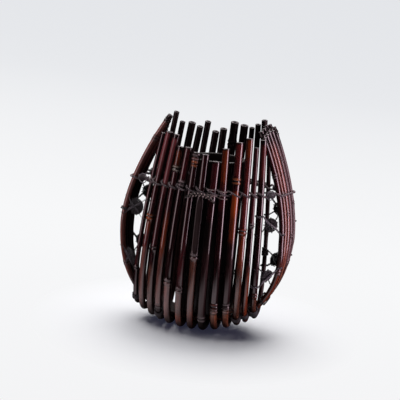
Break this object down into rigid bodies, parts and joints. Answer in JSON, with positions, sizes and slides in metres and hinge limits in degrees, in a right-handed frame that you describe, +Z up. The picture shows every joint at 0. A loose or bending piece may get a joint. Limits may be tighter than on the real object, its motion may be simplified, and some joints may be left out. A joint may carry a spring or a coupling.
{
  "type": "ikebana basket",
  "caption": "Flower basket of upright smoked bamboo canes that turn under its base, with a cane strap round its sides, twined cord, wound discs and a lift-out water tube.",
  "frame": {"origin": "on the flat foot of the middle cane, on the plane the basket stands on", "axes": "+Z up, +X to the right as seen from the front, +Y to the back"},
  "size_m": [0.2276, 0.128, 0.2793],
  "materials": {
    "dark_cane": "glossy dark smoked and lacquered bamboo",
    "red_cane": "glossy red-brown lacquered bamboo",
    "strap_cane": "glossy brown lacquered bamboo",
    "black_tube": "satin black lacquered bamboo",
    "vine_cord": "satin dark grey-brown vine cord",
    "wound_disc": "matte dark grey woven vine"
  },
  "bodies": {
    "basket": {"back_left_disc_1": "wound_disc", "back_left_disc_2": "wound_disc", "back_left_spindle": "wound_disc", "back_left_tie_1": "vine_cord", "back_left_tie_2": "vine_cord", "back_right_disc_1": "wound_disc", "back_right_disc_2": "wound_disc", "back_right_spindle": "wound_disc", "back_right_tie_1": "vine_cord", "back_right_tie_2": "vine_cord", "band_cord_a": "vine_cord", "band_cord_b": "vine_cord", "cane_01": "dark_cane", "cane_02": "dark_cane", "cane_03": "dark_cane", "cane_04": "red_cane", "cane_05": "dark_cane", "cane_06": "dark_cane", "cane_07": "dark_cane", "cane_08": "dark_cane", "cane_09": "dark_cane", "cane_10": "red_cane", "cane_11": "red_cane", "cane_12": "dark_cane", "cane_13": "dark_cane", "edge_wrap": "vine_cord", "foot_wrap_01": "vine_cord", "foot_wrap_04": "vine_cord", "foot_wrap_11": "vine_cord", "foot_wrap_12": "vine_cord", "foot_wrap_13": "vine_cord", "front_left_disc_1": "wound_disc", "front_left_disc_2": "wound_disc", "front_left_spindle": "wound_disc", "front_left_tie_1": "vine_cord", "front_left_tie_2": "vine_cord", "front_right_disc_1": "wound_disc", "front_right_disc_2": "wound_disc", "front_right_spindle": "wound_disc", "front_right_tie_1": "vine_cord", "front_right_tie_2": "vine_cord", "shoulder_braid": "vine_cord", "strap_cane_1": "strap_cane", "strap_cane_2": "strap_cane", "strap_cane_3": "strap_cane", "strap_cane_4": "strap_cane", "strap_cane_5": "strap_cane", "strap_wrap_left": "vine_cord", "strap_wrap_right": "vine_cord"},
    "tube": {"water_tube": "black_tube"}
  },
  "joints": [
    {"name": "tube_lift", "type": "slide", "parent": "basket", "child": "tube", "axis": [0, 0, 1], "range_m": [0, 0.26]}
  ]
}
